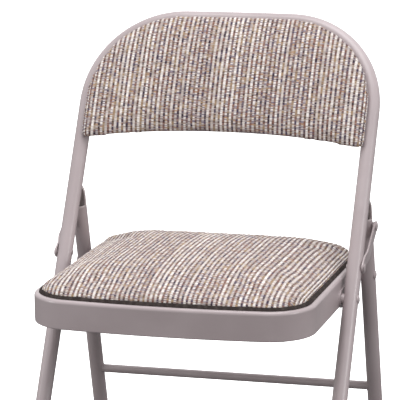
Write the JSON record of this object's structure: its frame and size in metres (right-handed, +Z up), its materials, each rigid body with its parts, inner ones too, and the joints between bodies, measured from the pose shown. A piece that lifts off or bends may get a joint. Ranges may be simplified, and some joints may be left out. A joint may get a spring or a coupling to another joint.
{
  "type": "folding chair",
  "caption": "Padded steel folding chair with a ribbed fabric seat and back; the seat, rear legs and side straps fold flat on the front frame.",
  "frame": {"origin": "on the floor, in the middle of the open chair's footprint", "axes": "+X to the chair's own left-right width with the viewer's right positive, +Y towards its back, +Z up"},
  "size_m": [0.4784, 0.4723, 0.7758],
  "materials": {
    "frame_paint": "satin mauve-grey baked enamel",
    "rib_fabric": "chunky ribbed weave in cream, tan and purple-grey",
    "board_wood": "raw hardboard",
    "foot_plastic": "moulded matte",
    "guard_plastic": "moulded, matched to the frame",
    "zinc_steel": "zinc plated"
  },
  "bodies": {
    "front_frame": {"front_frame_tube": "frame_paint", "front_cross_brace": "frame_paint", "back_panel": "frame_paint", "back_pad": "rib_fabric", "back_panel_tabs": "frame_paint", "back_panel_screws": "zinc_steel", "front_foot_left": "foot_plastic", "front_foot_right": "foot_plastic", "seat_pivot_rivet_left": "frame_paint", "seat_pivot_rivet_right": "frame_paint", "seat_pivot_spacer_left": "frame_paint", "seat_pivot_spacer_right": "frame_paint", "strap_lower_rivet_left": "frame_paint", "strap_lower_rivet_right": "frame_paint"},
    "seat": {"seat_pan": "frame_paint", "seat_board": "board_wood", "seat_board_clips": "frame_paint", "seat_board_screws": "zinc_steel", "seat_cushion": "rib_fabric", "bracket_rivets": "frame_paint", "seat_bracket_left": "frame_paint", "seat_bracket_right": "frame_paint"},
    "rear_legs": {"rear_cross_brace": "frame_paint", "rear_leg_left": "frame_paint", "rear_leg_right": "frame_paint", "leg_guard_left": "guard_plastic", "leg_guard_right": "guard_plastic", "rear_foot_left": "foot_plastic", "rear_foot_right": "foot_plastic", "leg_pivot_rivet_left": "frame_paint", "leg_pivot_rivet_right": "frame_paint", "leg_pivot_spacer_left": "frame_paint", "leg_pivot_spacer_right": "frame_paint"},
    "strap_left": {"link_strap_left": "frame_paint", "strap_upper_rivet_left": "frame_paint"},
    "strap_right": {"link_strap_right": "frame_paint", "strap_upper_rivet_right": "frame_paint"}
  },
  "joints": [
    {"name": "seat_fold", "type": "hinge", "parent": "front_frame", "child": "seat", "pos_m": [0, -0.0046, 0.3914], "axis": [-1, 0, 0], "range_deg": [0, 112.6]},
    {"name": "rear_leg_fold", "type": "hinge", "parent": "seat", "child": "rear_legs", "pos_m": [0, 0.11296, 0.40238], "axis": [-1, 0, 0], "range_deg": [-68.31, 0]},
    {"name": "strap_left_fold", "type": "hinge", "parent": "front_frame", "child": "strap_left", "pos_m": [-0.2205, 0.01877, 0.43356], "axis": [-1, 0, 0], "range_deg": [0, 135.5]},
    {"name": "strap_right_fold", "type": "hinge", "parent": "front_frame", "child": "strap_right", "pos_m": [0.2205, 0.01877, 0.43356], "axis": [-1, 0, 0], "range_deg": [0, 135.5]}
  ],
  "couplings": [
    {"joint": "rear_leg_fold", "follows": "seat_fold", "ratio": -0.6066},
    {"joint": "strap_left_fold", "follows": "seat_fold", "ratio": 1.2033},
    {"joint": "strap_right_fold", "follows": "seat_fold", "ratio": 1.2033}
  ]
}
